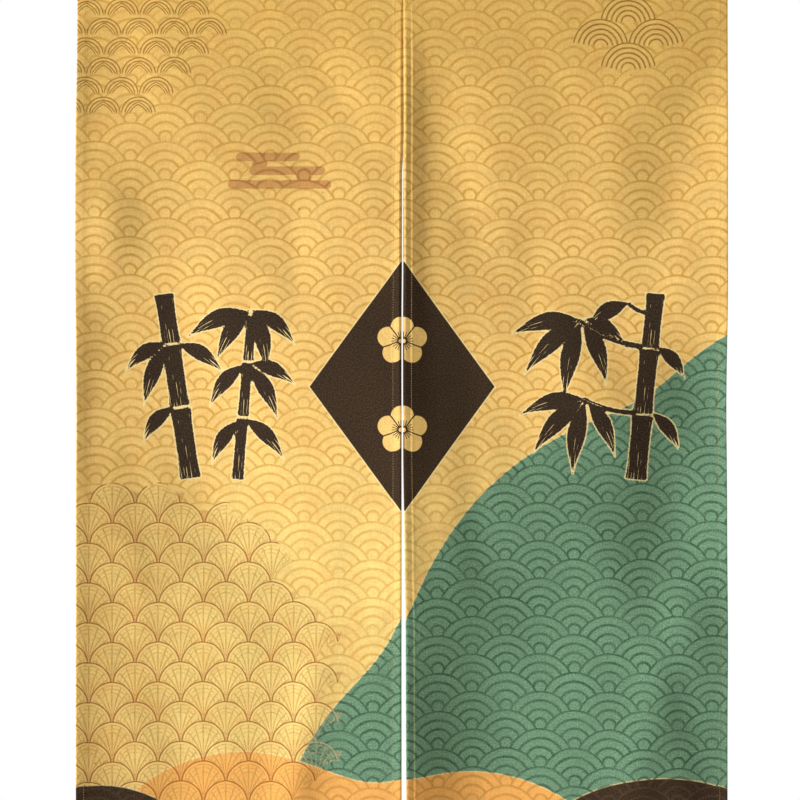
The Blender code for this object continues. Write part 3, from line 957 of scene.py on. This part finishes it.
def sewing_thread():
    """Spun polyester thread, matt and brownish olive."""
    material = bpy.data.materials.new("sewing_thread")
    material.use_nodes = True
    tree = material.node_tree
    tree.nodes.clear()
    place = add(tree, "TexCoord", out="Object")
    twist = add(tree, "TexNoise", {"Vector": place, "Scale": 300.0})
    tone = add(tree, "MapRange", [twist, 0.3, 0.7, 0.85, 1.1])
    colour = add(tree, "VectorMath", {"Vector": linear(THREAD)[:3], "Scale": tone}, operation="SCALE")
    surface = add(tree, "BsdfPrincipled", {"Base Color": colour, "Roughness": 0.7})
    add(tree, "OutputMaterial", [surface])
    return material


def seam(start, end):
    """Where the stitches of a seam lie, evenly from end to end: their middles and their directions."""
    start, end = np.array(start), np.array(end)
    count = round(float(np.linalg.norm(end - start)) / STITCH_PITCH)
    share = (np.arange(count) + 0.5)[:, None] / count
    return start + (end - start) * share, np.tile((end - start) / np.linalg.norm(end - start), (count, 1))


def stitches(name, seams, surface, material):
    """The stitches of several seams as one piece. surface(x, drop) gives the y of the cloth's face."""
    middles, ways = (np.concatenate(parts) for parts in zip(*seams))
    one = bmesh.new()
    bmesh.ops.create_icosphere(one, subdivisions=1, radius=0.5)
    mesh = bpy.data.meshes.new(name)
    one.to_mesh(mesh)
    one.free()
    many = bpy.data.objects.new(name, mesh)
    bpy.context.scene.collection.objects.link(many)
    row = many.modifiers.new("row", "ARRAY")
    row.count = len(middles)
    row.use_relative_offset = False
    places = np.empty(3 * len(mesh.vertices))
    mesh.vertices.foreach_get("co", places)
    bead = places.reshape(-1, 3)
    made = bpy.data.meshes.new_from_object(many.evaluated_get(bpy.context.evaluated_depsgraph_get()))
    many.modifiers.clear()
    many.data = made
    aside = np.stack([-ways[:, 1], ways[:, 0]], axis=1)
    along, across, proud = (bead[:, i] * STITCH[i] for i in range(3))
    flat = middles[:, None, :] + ways[:, None, :] * along[None, :, None]
    flat = (flat + aside[:, None, :] * across[None, :, None]).reshape(-1, 2)
    y = surface(flat[:, 0], flat[:, 1]) + np.tile(proud, len(middles))
    made.vertices.foreach_set("co", np.stack([flat[:, 0], y, -flat[:, 1]], axis=1).ravel())
    made.update()
    made.shade_smooth()
    made.materials.append(material)
    return many


def panel_seams(side, face):
    """The seams of one panel on its front or back, as points (x, drop)."""
    towards = -1.0 if side == "left" else 1.0
    half = WIDTH / 2
    foot = DROP - FOOT_SEAM
    low = foot if face == "back" else DROP - FOOT_SEAM_END
    runs = []
    breaks = [HEADING_DROP, *[row.drop for row in SLIT[1:-1]], foot, low]
    for top, bottom in zip(breaks, breaks[1:]):
        if bottom > top:
            ends = [float(slit_edge(side, np.array(drop))) + INNER_SEAM for drop in (top, bottom)]
            runs.append(seam((towards * ends[0], top), (towards * ends[1], bottom)))
            runs.append(seam((towards * (half - OUTER_SEAM), top), (towards * (half - OUTER_SEAM), bottom)))
    inner = float(slit_edge(side, np.array(foot))) + FOOT_SEAM_END
    runs.append(seam((towards * inner, foot), (towards * (half - FOOT_SEAM_END), foot)))
    return runs


thread = sewing_thread()
sewing = {}
for side in ("left", "right"):
    sewing[side] = [
        stitches(
            "panel_" + side + "_stitching_" + face,
            panel_seams(side, face),
            lambda x, drop, side=side, out=out: hang(side, x, drop) + out,
            thread,
        )
        for face, out in (("front", FRONT_FACE), ("back", BACK_FACE))
    ]
middles, ways = seam((WHIP_X, HEADING_DROP), (WHIP_X, SEWN_DROP))
ways = np.tile(WHIP_SLANT, (len(ways), 1))
sewing["right"].append(stitches(
    "whipped_inner_edges",
    [(middles, ways)],
    lambda x, drop: np.where(x < WHIP_X, hang("left", x, drop), hang("right", x, drop)) + BACK_FACE,
    thread,
))
seam_end = WIDTH / 2 - HEADING_SEAM_END
rows = [seam((-seam_end, drop), (seam_end, drop)) for drop in HEADING_SEAMS]


def heading_face(out):
    """The y of the heading's front or back face."""
    return lambda x, drop: np.where(x < 0, hang("left", x, drop), hang("right", x, drop)) + out


sewing["heading"] = [
    stitches("heading_stitching_front", rows, heading_face(BACK_SET - LEG_OUTER), thread),
    stitches("heading_stitching_back", rows, heading_face(BACK_SET + LEG_OUTER), thread),
]

for piece, size, sewn, slot, rests_on in (
    (*panels["left"], sewing["left"], "printed_cloth", ["heading_cloth"]),
    (*panels["right"], sewing["right"], "printed_cloth", ["heading_cloth"]),
    (strip, strip_size, sewing["heading"], "heading_cloth", []),
):
    for row in sewn:
        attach(row, "root")
    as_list(rests_on)
    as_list(sewn)
